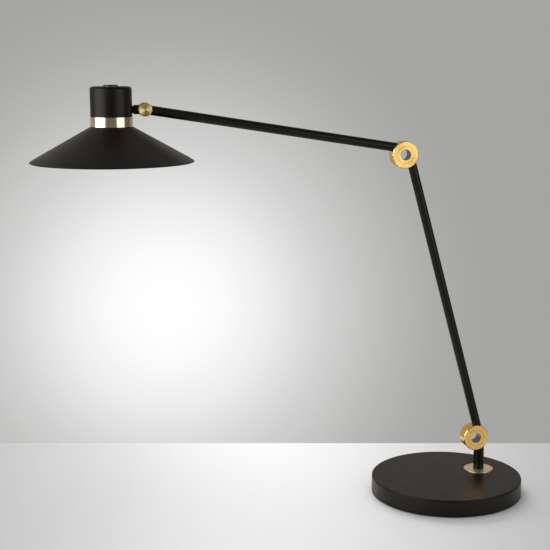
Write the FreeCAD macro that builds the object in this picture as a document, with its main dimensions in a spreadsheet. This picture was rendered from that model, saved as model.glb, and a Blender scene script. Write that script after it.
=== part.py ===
import FreeCAD, Part
import os
import Sketcher

# Desk lamp on a heavy round base: a swivelling stem, two straight arms joined by hollow ring knuckles,
# and a cone-shaded head that tilts on a small barrel knuckle.
# Origin: centre of the pad's underside, on the table. +Z up, the head reaches towards -X.
# The arms swing in the upright plane through the stem, parallel to XZ.

doc = FreeCAD.newDocument("desk_lamp")
sheet = doc.addObject("Spreadsheet::Sheet", "dim")

SIZES = (
    # base
    ("base_radius", 109),
    ("base_height", 24.5),
    ("base_round", 1.6),
    ("base_turn", 14.55),
    ("cover_lift", 0.8),
    ("cover_wall", 3),
    ("cover_top", 3),
    ("inner_fit", 0.3),
    ("pad_inset", 3.5),
    ("pad_thick", 2),
    ("plate_thick", 2),
    ("foot_pocket", 23),
    ("channel_width", 15),
    ("screw_inset", 47.8),
    ("screw_radius", 1.75),
    ("screw_head", 3.6),
    ("screw_length", 12),
    ("screw_recess", 0.2),
    ("grommet_bore", 3.1),
    ("grommet_neck", 4.5),
    ("grommet_flange", 6.5),
    ("grommet_lip", 1.6),
    ("grommet_height", 12),
    # swivel bearing in the base
    ("stem_inset", 50.8),
    ("bush_radius", 9.1),
    ("bush_flange", 15),
    ("bush_flange_thick", 1.6),
    ("bush_length", 11),
    ("spindle_radius", 6),
    ("stem_radius", 7.6),
    ("stem_bore", 3),
    ("spindle_end", 5.2),
    ("swivel_washer_radius", 14),
    ("swivel_washer_thick", 1),
    ("swivel_nut_corner", 11.5),
    ("swivel_nut_height", 5),
    ("stop_circle", 18),
    ("stop_post_radius", 2),
    ("stop_post_length", 9.4),
    ("ear_width", 6),
    ("ear_reach", 20),
    ("escutcheon_radius", 21.5),
    ("escutcheon_thick", 1.2),
    ("escutcheon_round", 0.5),
    # clearances
    ("run_fit", 0.05),
    ("press_gap", 0.03),
    ("moving_gap", 0.3),
    # ring knuckles
    ("ring_radius", 18.9),
    ("ring_width", 18.5),
    ("ring_chamfer", 0.8),
    ("ring_seam", 0.4),
    ("sleeve_bore", 7.7),
    ("sleeve_wall", 1.5),
    ("hub_radius", 11),
    ("cavity_radius", 14.6),
    ("cavity_depth", 5),
    ("seat_radius", 12),
    ("seat_depth", 2.6),
    ("nut_lip", 0.8),
    ("nut_washer_thick", 0.4),
    ("friction_washer_thick", 0.3),
    ("stop_track", 16.7),
    ("stop_pin_radius", 0.9),
    ("stop_pin_seat", 3.5),
    ("stop_pin_proud", 1.4),
    ("track_depth", 1.7),
    ("track_margin", 4.5),
    # tubes
    ("tube_radius", 6.35),
    ("tube_wall", 1),
    ("tube_shift", 8.15),
    ("spigot_start", 12),
    ("spigot_length", 14),
    ("lead_bore", 2.4),
    ("lead_radius", 2.2),
    # arms
    ("pivot_rise", 50.9),
    ("lower_length", 434.7),
    ("lower_lean", 15.41),
    ("upper_length", 367),
    ("upper_rise", 9.15),
    ("lower_swing_down", 30),
    ("lower_swing_up", 20),
    ("upper_swing_down", 60),
    ("upper_swing_up", 40),
    # head knuckle
    ("knob_radius", 9),
    ("knob_width", 16),
    ("knob_chamfer", 0.6),
    ("knob_rim", 1.3),
    ("knob_dish", 0.8),
    ("knob_bore", 2.5),
    ("knob_hub", 3.9),
    ("knob_cavity", 6.6),
    ("knob_cavity_depth", 3.5),
    ("knob_spigot_start", 6.7),
    ("knob_spigot_length", 5),
    ("screw_seat_radius", 4.6),
    ("screw_seat_depth", 3),
    ("pivot_head_height", 2.2),
    ("pivot_thread_depth", 5.5),
    # head
    ("link_reach", 16.65),
    ("cap_radius", 27.4),
    ("cap_wall", 1.5),
    ("cap_roof", 2),
    ("cap_top", 30.5),
    ("cap_bottom", -9),
    ("cap_round", 4),
    ("link_radius", 6.2),
    ("link_neck", 4.8),
    ("link_neck_length", 1.2),
    ("link_chamfer", 1.1),
    ("link_stub", 4),
    ("link_stub_length", 9),
    ("link_nut_corner", 6.8),
    ("link_nut_height", 3.5),
    ("link_nut_gap", 0.9),
    ("band_proud", 0.5),
    ("band_height", 12.8),
    ("band_wall", 2.6),
    ("band_lip", 1.5),
    ("band_spigot", 2),
    ("shade_sheet", 0.8),
    ("shade_step", 0.4),
    ("shade_rim", 108),
    ("shade_drop", 45.3),
    ("shade_bead", 0.8),
    ("holder_gap", 1.1),
    ("holder_seat", 4.5),
    ("holder_step", 7),
    ("holder_bore", 13.4),
    ("holder_flange_thick", 1.6),
    ("holder_mouth", -27),
    ("holder_contact", -2),
    ("holder_crown", 10),
    ("ring_nut_wall", 4.5),
    ("ring_nut_height", 4.2),
    ("bulb_cap_radius", 13.1),
    ("bulb_cap_tip", -2.6),
    ("bulb_cap_shoulder", -8),
    ("bulb_cap_end", -27.2),
    ("bulb_neck", 13.6),
    ("bulb_radius", 22.5),
    ("bulb_centre", -43),
    # switch
    ("button_radius", 9.5),
    ("button_proud", 2),
    ("button_height", 11.5),
    ("button_round", 0.8),
    ("button_skin", 1.5),
    ("switch_neck_wall", 0.6),
    ("switch_body_radius", 12.5),
    ("switch_floor", 14.5),
    ("switch_well", 19),
    ("switch_shoulder", 24.5),
    ("switch_nut_radius", 15),
    ("switch_nut_height", 2.5),
)
for row, (alias, value) in enumerate(SIZES, start=1):
    sheet.set("A%d" % row, alias)
    sheet.set("B%d" % row, str(value))
    sheet.setAlias("B%d" % row, alias)
doc.recompute()

# positions that follow from the sizes
STEM_OFFSET = "(dim.base_radius - dim.stem_inset)"
SCREW_CIRCLE = "(dim.base_radius - dim.screw_inset)"
STEM_X = STEM_OFFSET + " * cos(dim.base_turn)"
STEM_Y = STEM_OFFSET + " * sin(dim.base_turn)"
KNEE_X = "(%s - dim.tube_shift)" % STEM_X
KNEE_Z = "(dim.base_height + dim.pivot_rise)"
ELBOW_X = "(%s - dim.lower_length * sin(dim.lower_lean))" % KNEE_X
ELBOW_Z = "(%s + dim.lower_length * cos(dim.lower_lean))" % KNEE_Z
WRIST_X = ("(%s + dim.tube_shift * sin(dim.upper_rise) - dim.upper_length * cos(dim.upper_rise))"
           % ELBOW_X)
WRIST_Z = ("(%s + dim.tube_shift * cos(dim.upper_rise) + dim.upper_length * sin(dim.upper_rise))"
           % ELBOW_Z)
BALLAST_TOP = "(dim.base_height - dim.cover_top)"
PLATE_TOP = "(dim.pad_thick + dim.plate_thick)"
BUSH_END = "(dim.base_height - dim.bush_length)"
SLEEVE_OUT = "(dim.sleeve_bore + dim.sleeve_wall)"


def place(pos_x, pos_y, pos_z, axis="0; 0; 1", angle="0"):
    return ("placement(vector(%s; %s; %s); rotation(vector(%s); %s))"
            % (pos_x, pos_y, pos_z, axis, angle))


AT_BASE = place("0", "0", "0", "0; 0; 1", "dim.base_turn")
AT_STEM = place(STEM_X, STEM_Y, "0")
AT_KNEE_STEM = place(KNEE_X, STEM_Y, KNEE_Z, "1; 0; 0", "180")
AT_KNEE_SLEEVE = place(KNEE_X, STEM_Y, KNEE_Z)
AT_LOWER = place(KNEE_X, STEM_Y, KNEE_Z, "0; 1; 0", "-dim.lower_lean")
AT_ELBOW_SLEEVE = place(ELBOW_X, STEM_Y, ELBOW_Z, "0; 1; 0", "-dim.lower_lean")
AT_ELBOW_LOWER = AT_ELBOW_SLEEVE + " * " + place("0", "0", "0", "1; 0; 0", "180")
AT_UPPER = place(ELBOW_X, STEM_Y, ELBOW_Z, "0; 1; 0", "dim.upper_rise - 90")
AT_WRIST_ARM = (place(WRIST_X, STEM_Y, WRIST_Z, "0; 1; 0", "dim.upper_rise - 90") + " * "
                + place("0", "0", "0", "1; 0; 0", "180"))
AT_WRIST_HEAD = place(WRIST_X, STEM_Y, WRIST_Z, "0; 1; 0", "-90")
AT_WRIST = place(WRIST_X, STEM_Y, WRIST_Z)
AT_HEAD = place(WRIST_X + " - dim.link_reach - dim.cap_radius", STEM_Y, WRIST_Z)

nodes = []


def number(owner, text):
    value = owner.evalExpression(text)
    return float(getattr(value, "Value", value))


def new_body(label, where):
    body = doc.addObject("PartDesign::Body", label)
    body.Label = label
    body.setExpression("Placement", where)
    nodes.append(body)
    return body


def new_sketch(body, role, lift=None):
    plane = next(item for item in body.Origin.OriginFeatures if item.Role == role)
    sketch = body.newObject("Sketcher::SketchObject", body.Label + "_sketch")
    sketch.AttachmentSupport = (plane, [""])
    sketch.MapMode = "FlatFace"
    if lift is not None:
        sketch.setExpression("AttachmentOffset.Base.z", lift)
    return sketch


def bind(sketch, kind, datum, *where):
    if datum == "0":
        axis = -2 if kind == "DistanceX" else -1
        sketch.addConstraint(Sketcher.Constraint("PointOnObject", where[0], where[1], axis))
        return
    value = number(sketch, datum)
    if kind == "Radius":
        index = sketch.addConstraint(Sketcher.Constraint(kind, where[0], value))
    else:
        index = sketch.addConstraint(Sketcher.Constraint(kind, -1, 1, where[0], where[1], value))
    sketch.setExpression("Constraints[%d]" % index, datum)


def outline(sketch, points):
    spots = [FreeCAD.Vector(number(sketch, u), number(sketch, v), 0) for u, v in points]
    count = len(spots)
    lines = []
    for index in range(count):
        line = Part.LineSegment(spots[index], spots[(index + 1) % count])
        lines.append(sketch.addGeometry(line, False))
    for index in range(count):
        after = lines[(index + 1) % count]
        sketch.addConstraint(Sketcher.Constraint("Coincident", lines[index], 2, after, 1))
    for line, (u, v) in zip(lines, points):
        bind(sketch, "DistanceX", u, line, 1)
        bind(sketch, "DistanceY", v, line, 1)
    return sketch


def circle(sketch, u, v, radius):
    centre = FreeCAD.Vector(number(sketch, u), number(sketch, v), 0)
    size = number(sketch, radius)
    geo = sketch.addGeometry(Part.Circle(centre, FreeCAD.Vector(0, 0, 1), size), False)
    bind(sketch, "Radius", radius, geo)
    bind(sketch, "DistanceX", u, geo, 3)
    bind(sketch, "DistanceY", v, geo, 3)
    return sketch


def extrude(body, kind, sketch, length, flip=False, both=False):
    feature = body.newObject("PartDesign::" + kind, body.Label + "_" + kind.lower())
    feature.Profile = sketch
    feature.SideType = "Symmetric" if both else "One side"
    feature.Length = number(feature, length)
    feature.setExpression("Length", length)
    feature.Reversed = flip
    sketch.Visibility = False
    return feature


def turn(body, kind, sketch, axis="V_Axis"):
    feature = body.newObject("PartDesign::" + kind, body.Label + "_" + kind.lower())
    feature.Profile = sketch
    feature.ReferenceAxis = (sketch, [axis])
    feature.Angle = 360
    sketch.Visibility = False
    return feature


def turned(label, where, points, role="XZ_Plane", axis="V_Axis"):
    body = new_body(label, where)
    turn(body, "Revolution", outline(new_sketch(body, role), points), axis)
    return body


def round_edges(body, kind, size, radius, height):
    # the circular edges of the given radius at the given height along Z
    doc.recompute()
    tip = body.Tip
    want_radius = number(tip, radius)
    want_height = number(tip, height)
    names = []
    for index, edge in enumerate(tip.Shape.Edges, start=1):
        curve = edge.Curve
        if curve.TypeId != "Part::GeomCircle":
            continue
        if abs(curve.Radius - want_radius) > 1e-4 or abs(curve.Center.z - want_height) > 1e-4:
            continue
        names.append("Edge%d" % index)
    feature = body.newObject("PartDesign::" + kind, body.Label + "_" + kind.lower())
    feature.Base = (tip, names)
    prop = "Radius" if kind == "Fillet" else "Size"
    feature.setExpression(prop, size)
    return feature


def tube_of(label, where, inner, outer, low, high, role="XZ_Plane", axis="V_Axis"):
    if axis == "V_Axis":
        points = ((inner, low), (outer, low), (outer, high), (inner, high))
    else:
        points = ((low, inner), (low, outer), (high, outer), (high, inner))
    return turned(label, where, points, role, axis)


def rod_of(label, where, radius, low, high, centre="0"):
    body = new_body(label, where)
    sketch = circle(new_sketch(body, "XY_Plane", low), centre, "0", radius)
    extrude(body, "Pad", sketch, "(%s) - (%s)" % (high, low))
    return body


def hex_nut(label, where, corner, bore, height, low):
    # a hexagon nut: a prism less its bore, on the local Z axis
    prism = doc.addObject("Part::Prism", label + "_prism")
    prism.Polygon = 6
    prism.setExpression("Circumradius", corner)
    prism.setExpression("Height", height)
    prism.setExpression("Placement", place("0", "0", low))
    hole = doc.addObject("Part::Cylinder", label + "_bore")
    hole.setExpression("Radius", bore)
    hole.setExpression("Height", "(%s) + 2" % height)
    hole.setExpression("Placement", place("0", "0", "(%s) - 1" % low))
    nut = doc.addObject("Part::Cut", label)
    nut.Base = prism
    nut.Tool = hole
    nut.Label = label
    nut.setExpression("Placement", where)
    nodes.append(nut)
    return nut


# ---------------------------------------------------------------- base
# cover: a turned shell, open below, with the bearing hole and the outlet hole in its rear wall
cover = turned("base_cover", AT_BASE, (
    ("0", BALLAST_TOP),
    ("dim.base_radius - dim.cover_wall", BALLAST_TOP),
    ("dim.base_radius - dim.cover_wall", "dim.cover_lift"),
    ("dim.base_radius", "dim.cover_lift"),
    ("dim.base_radius", "dim.base_height"),
    ("0", "dim.base_height"),
))
round_edges(cover, "Fillet", "dim.base_round", "dim.base_radius", "dim.base_height")
extrude(cover, "Pocket", circle(new_sketch(cover, "XY_Plane", "dim.base_height"),
                                STEM_OFFSET, "0", "dim.bush_radius + dim.press_gap"),
        "dim.cover_top + 1")
extrude(cover, "Pocket", circle(new_sketch(cover, "YZ_Plane", "dim.base_radius + 1"),
                                "0", "dim.grommet_height", "dim.grommet_neck + dim.press_gap"),
        "dim.cover_wall + 2")

# ballast: a cast disc with a pocket for the bearing, a lead channel to the rear and three tapped holes
BALLAST_OUT = "(dim.base_radius - dim.cover_wall - dim.inner_fit)"
BALLAST_DEEP = "(%s - %s)" % (BALLAST_TOP, PLATE_TOP)
ballast = turned("base_ballast", AT_BASE, (
    ("0", PLATE_TOP),
    (BALLAST_OUT, PLATE_TOP),
    (BALLAST_OUT, BALLAST_TOP),
    ("0", BALLAST_TOP),
))
extrude(ballast, "Pocket", circle(new_sketch(ballast, "XY_Plane", BALLAST_TOP),
                                  STEM_OFFSET, "0", "dim.foot_pocket"),
        BALLAST_DEEP + " + 1")
channel = outline(new_sketch(ballast, "XY_Plane", BALLAST_TOP), (
    (STEM_OFFSET, "-dim.channel_width / 2"),
    ("dim.base_radius", "-dim.channel_width / 2"),
    ("dim.base_radius", "dim.channel_width / 2"),
    (STEM_OFFSET, "dim.channel_width / 2"),
))
extrude(ballast, "Pocket", channel, BALLAST_DEEP + " + 1")
tapped = extrude(ballast, "Pocket", circle(new_sketch(ballast, "XY_Plane", PLATE_TOP),
                                           "-" + SCREW_CIRCLE, "0", "dim.screw_radius"),
                 "dim.screw_length + 1", flip=True)


def three_times(body, feature):
    # the same cut at three places round the base's axis
    doc.recompute()
    pattern = body.newObject("PartDesign::PolarPattern", body.Label + "_three")
    pattern.Originals = [feature]
    pattern.Axis = (next(item for item in body.Origin.OriginFeatures if item.Role == "Z_Axis"), [""])
    pattern.Angle = 360
    pattern.Occurrences = 3
    body.Tip = pattern
    return pattern


three_times(ballast, tapped)

plate = turned("base_plate", AT_BASE, (
    ("0", "dim.pad_thick"),
    (BALLAST_OUT, "dim.pad_thick"),
    (BALLAST_OUT, PLATE_TOP),
    ("0", PLATE_TOP),
))
countersunk = extrude(plate, "Pocket", circle(new_sketch(plate, "XY_Plane", PLATE_TOP),
                                              "-" + SCREW_CIRCLE, "0", "dim.screw_head + dim.inner_fit"),
                      "dim.plate_thick + 1")
three_times(plate, countersunk)

turned("base_pad", AT_BASE, (
    ("0", "0"),
    ("dim.base_radius - dim.pad_inset", "0"),
    ("dim.base_radius - dim.pad_inset", "dim.pad_thick"),
    ("0", "dim.pad_thick"),
))

for index in range(3):
    spin = "(dim.base_turn + %d)" % (60 + 120 * index)
    spot = place("%s * cos(%s)" % (SCREW_CIRCLE, spin), "%s * sin(%s)" % (SCREW_CIRCLE, spin), "0")
    turned("base_screw_%d" % (index + 1), spot, (
        ("0", "dim.pad_thick + dim.screw_recess"),
        ("dim.screw_head", "dim.pad_thick + dim.screw_recess"),
        ("dim.screw_head", PLATE_TOP),
        ("dim.screw_radius - dim.press_gap", PLATE_TOP),
        ("dim.screw_radius - dim.press_gap", PLATE_TOP + " + dim.screw_length"),
        ("0", PLATE_TOP + " + dim.screw_length"),
    ))

turned("cable_grommet", AT_BASE, (
    ("dim.base_radius - dim.cover_wall - dim.grommet_lip", "dim.grommet_bore"),
    ("dim.base_radius - dim.cover_wall - dim.grommet_lip", "dim.grommet_flange"),
    ("dim.base_radius - dim.cover_wall - dim.inner_fit", "dim.grommet_flange"),
    ("dim.base_radius - dim.cover_wall - dim.inner_fit", "dim.grommet_neck"),
    ("dim.base_radius", "dim.grommet_neck"),
    ("dim.base_radius", "dim.grommet_flange"),
    ("dim.base_radius + dim.grommet_lip", "dim.grommet_flange"),
    ("dim.base_radius + dim.grommet_lip", "dim.grommet_bore"),
), axis="H_Axis")
grommet_lift = place("0", "0", "dim.grommet_height")
nodes[-1].setExpression("Placement", AT_BASE + " * " + grommet_lift)

turned("swivel_bush", AT_STEM, (
    ("dim.spindle_radius + dim.run_fit", BUSH_END),
    ("dim.bush_radius", BUSH_END),
    ("dim.bush_radius", BALLAST_TOP + " - dim.bush_flange_thick"),
    ("dim.bush_flange", BALLAST_TOP + " - dim.bush_flange_thick"),
    ("dim.bush_flange", BALLAST_TOP),
    ("dim.bush_radius", BALLAST_TOP),
    ("dim.bush_radius", "dim.base_height"),
    ("dim.spindle_radius + dim.run_fit", "dim.base_height"),
))

rod_of("swivel_stop", AT_STEM, "dim.stop_post_radius", BALLAST_TOP + " - dim.stop_post_length",
       BALLAST_TOP, "-dim.stop_circle")

escutcheon = tube_of("escutcheon", AT_STEM, "dim.stem_radius + dim.moving_gap",
                     "dim.escutcheon_radius", "dim.base_height",
                     "dim.base_height + dim.escutcheon_thick")
round_edges(escutcheon, "Fillet", "dim.escutcheon_round", "dim.escutcheon_radius",
            "dim.base_height + dim.escutcheon_thick")

# ---------------------------------------------------------------- stem
SHOULDER = "(dim.base_height + dim.run_fit)"
SOCKET = "(dim.tube_radius - dim.tube_wall)"
STEM_TOP = "(%s - dim.spigot_start + 2)" % KNEE_Z
SOCKET_FLOOR = "(%s - dim.ring_radius - dim.spigot_length - 1)" % KNEE_Z
stem = turned("stem_spindle", AT_STEM, (
    ("dim.stem_bore", "dim.spindle_end"),
    ("dim.spindle_radius", "dim.spindle_end"),
    ("dim.spindle_radius", SHOULDER),
    ("dim.stem_radius", SHOULDER),
    ("dim.stem_radius", STEM_TOP),
    (SOCKET, STEM_TOP),
    (SOCKET, SOCKET_FLOOR),
    ("dim.stem_bore", SOCKET_FLOOR),
))


def saddle(body, centre_u, centre_v, other_side, radius="dim.ring_radius"):
    # cope an end to the ring: seated on its own half, clear of the half on the other side.
    # other_side is +1 where that half lies towards +Y, and -1 towards -Y
    whole = circle(new_sketch(body, "XZ_Plane"), centre_u, centre_v, radius + " + dim.press_gap")
    extrude(body, "Pocket", whole, "4 * dim.tube_radius + 4", both=True)
    # this plane's normal is -Y, so a lift of +seam/2 stands the sketch at y = -seam/2
    lift = "dim.ring_seam / 2" if other_side > 0 else "-dim.ring_seam / 2"
    wide = circle(new_sketch(body, "XZ_Plane", lift), centre_u, centre_v,
                  radius + " + dim.moving_gap")
    extrude(body, "Pocket", wide, "2 * dim.tube_radius + 2", flip=other_side < 0)


saddle(stem, "-dim.tube_shift", KNEE_Z, -1)

washer = tube_of("stem_washer", AT_STEM, "dim.spindle_radius + dim.press_gap",
                 "dim.swivel_washer_radius",
                 BUSH_END + " - dim.run_fit - dim.swivel_washer_thick", BUSH_END + " - dim.run_fit")
ear = outline(new_sketch(washer, "XY_Plane", BUSH_END + " - dim.run_fit"), (
    ("dim.swivel_washer_radius - 2", "-dim.ear_width / 2"),
    ("dim.ear_reach", "-dim.ear_width / 2"),
    ("dim.ear_reach", "dim.ear_width / 2"),
    ("dim.swivel_washer_radius - 2", "dim.ear_width / 2"),
))
extrude(washer, "Pad", ear, "dim.swivel_washer_thick", flip=True)

hex_nut("stem_nut", AT_STEM, "dim.swivel_nut_corner", "dim.spindle_radius + dim.press_gap",
        "dim.swivel_nut_height",
        BUSH_END + " - dim.run_fit - dim.swivel_washer_thick - dim.swivel_nut_height")


# ---------------------------------------------------------------- ring knuckles
# One half of a ring knuckle, seen in its own frame: the ring's axis is Y, the half lies at -Y, and the
# spigot that enters the arm stands towards +Z, set off the ring's centre by tube_shift along +X.
HALF = "dim.ring_width / 2"
SEAM = "-dim.ring_seam / 2"
RING_BORE = "(dim.sleeve_bore + dim.sleeve_wall + dim.run_fit)"


def ring_half(label, where):
    body = turned(label, where, (
        (RING_BORE, SEAM),
        ("dim.ring_radius", SEAM),
        ("dim.ring_radius", "dim.ring_chamfer - " + HALF),
        ("dim.ring_radius - dim.ring_chamfer", "-" + HALF),
        ("dim.seat_radius", "-" + HALF),
        ("dim.seat_radius", "dim.seat_depth - " + HALF),
        (RING_BORE, "dim.seat_depth - " + HALF),
    ), role="XY_Plane")
    # spigot, then the space that the opposite half turns in
    root = circle(new_sketch(body, "XY_Plane", "dim.spigot_start"), "dim.tube_shift", "0",
                  SOCKET + " - dim.run_fit")
    extrude(body, "Pad", root, "dim.ring_radius + dim.spigot_length - dim.spigot_start")
    away = circle(new_sketch(body, "XZ_Plane", "dim.ring_seam / 2"), "0", "0",
                  "dim.ring_radius + dim.moving_gap")
    extrude(body, "Pocket", away, "dim.ring_width")
    # annular chamber for the lead, open at the seam
    chamber = outline(new_sketch(body, "XY_Plane"), (
        ("dim.hub_radius", SEAM + " + 1"),
        ("dim.cavity_radius", SEAM + " + 1"),
        ("dim.cavity_radius", SEAM + " - dim.cavity_depth"),
        ("dim.hub_radius", SEAM + " - dim.cavity_depth"),
    ))
    turn(body, "Groove", chamber)
    duct = circle(new_sketch(body, "XY_Plane", "dim.spigot_start - 2"), "dim.tube_shift", "0",
                  "dim.lead_bore")
    extrude(body, "Pocket", duct, "dim.ring_radius + dim.spigot_length", flip=True)
    return body


def pin_hole(body, angle):
    # blind hole for the stop pin, in the seam face
    hole = circle(new_sketch(body, "XZ_Plane", "dim.ring_seam / 2"),
                  "dim.stop_track * cos(%s)" % angle, "dim.stop_track * sin(%s)" % angle,
                  "dim.stop_pin_radius + dim.press_gap")
    extrude(body, "Pocket", hole, "dim.stop_pin_seat", flip=True)


def stop_track(body, side, plus, minus):
    # the arc-shaped track that the stop pin runs in, cut into the seam face
    near = "%s(dim.stop_track - dim.stop_pin_radius - dim.moving_gap)" % side
    far = "%s(dim.stop_track + dim.stop_pin_radius + dim.moving_gap)" % side
    track = outline(new_sketch(body, "XY_Plane"), (
        (near, SEAM + " + 1"),
        (far, SEAM + " + 1"),
        (far, SEAM + " - dim.track_depth"),
        (near, SEAM + " - dim.track_depth"),
    ))
    feature = turn(body, "Groove", track)
    feature.Type = "TwoAngles"
    feature.Angle = number(feature, plus + " + dim.track_margin")
    feature.Angle2 = number(feature, minus + " + dim.track_margin")
    feature.setExpression("Angle", plus + " + dim.track_margin")
    feature.setExpression("Angle2", minus + " + dim.track_margin")


def stop_pin(label, where, angle):
    body = new_body(label, where)
    sketch = circle(new_sketch(body, "XZ_Plane", "dim.ring_seam / 2 + dim.stop_pin_seat"),
                    "dim.stop_track * cos(%s)" % angle, "dim.stop_track * sin(%s)" % angle,
                    "dim.stop_pin_radius")
    extrude(body, "Pad", sketch, "dim.stop_pin_seat + dim.ring_seam + dim.stop_pin_proud",
            flip=True)


def pivot_set(prefix, where, half_frame):
    # hollow pivot: a flanged sleeve fixed in the back half, a flush nut on its front end with a thin
    # lip over the sleeve's end, a washer under the nut and one in the seam, both on the front half
    turned(prefix + "_pivot_sleeve", where, (
        ("dim.sleeve_bore", "dim.nut_lip - " + HALF),
        (SLEEVE_OUT, "dim.nut_lip - " + HALF),
        (SLEEVE_OUT, HALF + " - dim.seat_depth"),
        ("dim.seat_radius - dim.press_gap", HALF + " - dim.seat_depth"),
        ("dim.seat_radius - dim.press_gap", HALF),
        ("dim.sleeve_bore", HALF),
    ), role="XY_Plane")
    seat = "(dim.seat_depth - %s)" % HALF
    turned(prefix + "_ring_nut", where, (
        ("dim.sleeve_bore", "-" + HALF),
        ("dim.seat_radius - dim.moving_gap", "-" + HALF),
        ("dim.seat_radius - dim.moving_gap", seat + " - dim.nut_washer_thick - dim.run_fit"),
        (SLEEVE_OUT + " + dim.press_gap", seat + " - dim.nut_washer_thick - dim.run_fit"),
        (SLEEVE_OUT + " + dim.press_gap", "dim.nut_lip - " + HALF),
        ("dim.sleeve_bore", "dim.nut_lip - " + HALF),
    ), role="XY_Plane")
    tube_of(prefix + "_nut_washer", half_frame, RING_BORE, "dim.seat_radius - dim.moving_gap",
            seat + " - dim.nut_washer_thick", seat, role="XY_Plane")
    tube_of(prefix + "_friction_washer", half_frame, RING_BORE, "dim.hub_radius - dim.press_gap",
            SEAM, SEAM + " + dim.friction_washer_thick", role="XY_Plane")


# lower knuckle, back half: on the stem
back = ring_half("lower_knuckle_back", AT_KNEE_STEM)
stop_track(back, "", "dim.lower_swing_down", "dim.lower_swing_up")
# lower knuckle, front half: on the lower arm
front = ring_half("lower_knuckle_front", AT_LOWER)
pin_hole(front, "-dim.lower_lean")
stop_pin("lower_stop_pin", AT_LOWER, "-dim.lower_lean")
pivot_set("lower", AT_KNEE_SLEEVE, AT_LOWER)

# upper knuckle, back half: on the lower arm's top end
back = ring_half("upper_knuckle_back", AT_ELBOW_LOWER)
stop_track(back, "-", "dim.upper_swing_down", "dim.upper_swing_up")
# upper knuckle, front half: on the upper arm
front = ring_half("upper_knuckle_front", AT_UPPER)
UPPER_PIN = "(dim.lower_lean + dim.upper_rise - 270)"
pin_hole(front, UPPER_PIN)
stop_pin("upper_stop_pin", AT_UPPER, UPPER_PIN)
pivot_set("upper", AT_ELBOW_SLEEVE, AT_UPPER)


# ---------------------------------------------------------------- arm tubes and their leads
def arm_tube(label, where, length):
    body = new_body(label, where)
    ring = new_sketch(body, "XY_Plane", "dim.spigot_start - 2")
    circle(ring, "dim.tube_shift", "0", "dim.tube_radius")
    circle(ring, "dim.tube_shift", "0", SOCKET)
    extrude(body, "Pad", ring, length)
    return body


lower_tube = arm_tube("lower_arm_tube", AT_LOWER, "dim.lower_length - 2 * (dim.spigot_start - 2)")
saddle(lower_tube, "0", "0", +1)
saddle(lower_tube, "0", "dim.lower_length", -1)

upper_tube = arm_tube("upper_arm_tube", AT_UPPER, "dim.upper_length - 2 - dim.spigot_start")
saddle(upper_tube, "0", "0", +1)
saddle(upper_tube, "dim.tube_shift", "dim.upper_length", -1, "dim.knob_radius")

rod_of("stem_lead", AT_STEM, "dim.lead_radius", "dim.spindle_end + 1",
       KNEE_Z + " - dim.ring_radius - 1")
rod_of("lower_arm_lead", AT_LOWER, "dim.lead_radius", "dim.ring_radius + 1",
       "dim.lower_length - dim.ring_radius - 1", "dim.tube_shift")
rod_of("upper_arm_lead", AT_UPPER, "dim.lead_radius", "dim.ring_radius + 1",
       "dim.upper_length - dim.knob_radius - 1", "dim.tube_shift")

# ---------------------------------------------------------------- head knuckle
# the same frame as the ring halves: axis Y, the half at -Y, its spigot towards +Z through the centre
KNOB_HALF = "dim.knob_width / 2"


def knob_half(label, where, open_face):
    if open_face:
        # the screw's running bore and the seat of its head
        points = (
            ("dim.knob_bore + dim.run_fit", SEAM),
            ("dim.knob_radius", SEAM),
            ("dim.knob_radius", "dim.knob_chamfer - " + KNOB_HALF),
            ("dim.knob_radius - dim.knob_chamfer", "-" + KNOB_HALF),
            ("dim.screw_seat_radius", "-" + KNOB_HALF),
            ("dim.screw_seat_radius", "dim.screw_seat_depth - " + KNOB_HALF),
            ("dim.knob_bore + dim.run_fit", "dim.screw_seat_depth - " + KNOB_HALF),
        )
    else:
        # a closed face, turned to a shallow cone inside a narrow flat rim, and a blind thread
        points = (
            ("dim.knob_bore + dim.press_gap", SEAM),
            ("dim.knob_radius", SEAM),
            ("dim.knob_radius", "dim.knob_chamfer - " + KNOB_HALF),
            ("dim.knob_radius - dim.knob_chamfer", "-" + KNOB_HALF),
            ("dim.knob_radius - dim.knob_rim", "-" + KNOB_HALF),
            ("0", "dim.knob_dish - " + KNOB_HALF),
            ("0", SEAM + " - dim.pivot_thread_depth"),
            ("dim.knob_bore + dim.press_gap", SEAM + " - dim.pivot_thread_depth"),
        )
    body = turned(label, where, points, role="XY_Plane")
    root = circle(new_sketch(body, "XY_Plane", "dim.knob_spigot_start"), "0", "0",
                  SOCKET + " - dim.run_fit")
    extrude(body, "Pad", root, "dim.knob_radius + dim.knob_spigot_length - dim.knob_spigot_start")
    away = circle(new_sketch(body, "XZ_Plane", "dim.ring_seam / 2"), "0", "0",
                  "dim.knob_radius + dim.moving_gap")
    extrude(body, "Pocket", away, "dim.knob_width")
    chamber = outline(new_sketch(body, "XY_Plane"), (
        ("dim.knob_hub", SEAM + " + 1"),
        ("dim.knob_cavity", SEAM + " + 1"),
        ("dim.knob_cavity", SEAM + " - dim.knob_cavity_depth"),
        ("dim.knob_hub", SEAM + " - dim.knob_cavity_depth"),
    ))
    turn(body, "Groove", chamber)
    duct = circle(new_sketch(body, "XY_Plane", "dim.knob_hub + 1"), "0", "0", "dim.lead_bore")
    extrude(body, "Pocket", duct, "dim.knob_radius + dim.knob_spigot_length", flip=True)
    return body


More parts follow.
